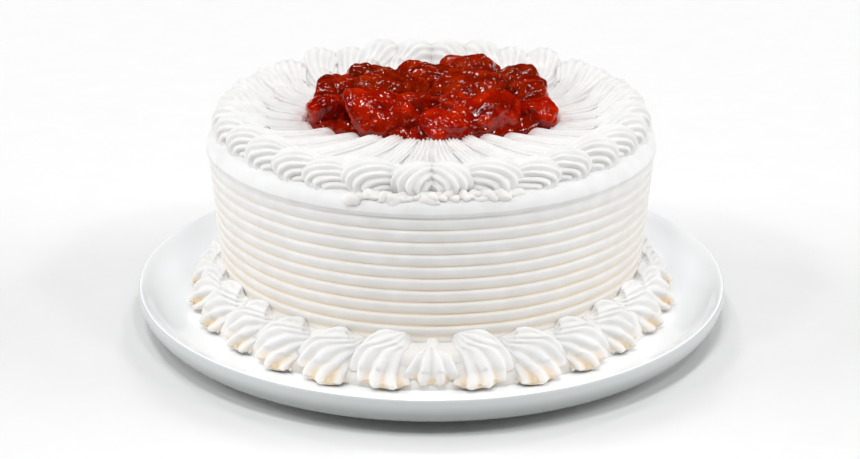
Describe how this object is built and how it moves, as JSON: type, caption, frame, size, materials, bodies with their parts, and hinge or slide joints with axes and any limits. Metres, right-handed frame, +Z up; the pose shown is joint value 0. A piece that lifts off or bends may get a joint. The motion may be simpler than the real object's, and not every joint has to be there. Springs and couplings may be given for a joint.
{
  "type": "strawberry cream cake on plate",
  "caption": "Round cream cake with a combed side, piped shell borders and a heap of glazed strawberries, standing on a wide white plate.",
  "frame": {"origin": "on the table, under the middle of the plate's foot ring", "axes": "+Z up, -Y the front that the piping turns towards, +X to the right"},
  "size_m": [0.274, 0.274, 0.1106],
  "materials": {
    "porcelain": "white glazed porcelain",
    "cream": "soft whipped cream, combed and piped",
    "glaze": "wet dark red strawberry glaze",
    "strawberry": "soft red strawberry pieces, wet with glaze"
  },
  "bodies": {
    "root": {"plate": "porcelain", "cake": "cream", "foot_border": "cream", "top_shell_01": "cream", "top_shell_02": "cream", "top_shell_03": "cream", "top_shell_04": "cream", "top_shell_05": "cream", "top_shell_06": "cream", "top_shell_07": "cream", "top_shell_08": "cream", "top_shell_09": "cream", "top_shell_10": "cream", "top_shell_11": "cream", "top_shell_12": "cream", "top_shell_13": "cream", "top_shell_14": "cream", "top_shell_15": "cream", "top_shell_16": "cream", "top_shell_17": "cream", "top_shell_18": "cream", "top_shell_19": "cream", "top_shell_20": "cream", "top_shell_21": "cream", "top_shell_22": "cream", "top_shell_23": "cream", "top_shell_24": "cream", "top_shell_25": "cream", "top_shell_26": "cream", "top_shell_27": "cream", "top_shell_28": "cream", "top_shell_29": "cream", "top_shell_30": "cream", "top_shell_31": "cream", "top_shell_32": "cream", "glaze": "glaze", "strawberry_01": "strawberry", "strawberry_02": "strawberry", "strawberry_03": "strawberry", "strawberry_04": "strawberry", "strawberry_05": "strawberry", "strawberry_06": "strawberry", "strawberry_07": "strawberry", "strawberry_08": "strawberry", "strawberry_09": "strawberry", "strawberry_10": "strawberry", "strawberry_11": "strawberry", "strawberry_12": "strawberry", "strawberry_13": "strawberry", "strawberry_14": "strawberry", "strawberry_15": "strawberry", "strawberry_16": "strawberry"}
  },
  "joints": []
}
